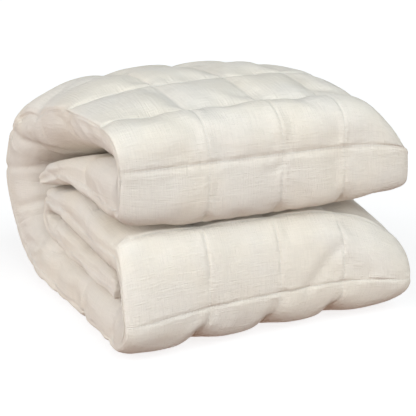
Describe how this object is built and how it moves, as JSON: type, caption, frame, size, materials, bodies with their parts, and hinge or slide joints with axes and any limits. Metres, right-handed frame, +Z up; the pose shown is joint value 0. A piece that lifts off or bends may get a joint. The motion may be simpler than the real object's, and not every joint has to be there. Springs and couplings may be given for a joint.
{
  "type": "weighted blanket",
  "caption": "Thick quilted blanket of undyed woven cotton, folded into a soft rectangular pile with rounded folds.",
  "frame": {"origin": "under the middle of the folded pile, on the surface that it rests on", "axes": "+X across the pad to the right end, +Y from the two front folds towards the wide turn at the back, +Z up"},
  "size_m": [0.4308, 0.4614, 0.311],
  "materials": {
    "cotton_cover": "matt plain weave"
  },
  "bodies": {
    "root": {"blanket": "cotton_cover"}
  },
  "joints": []
}
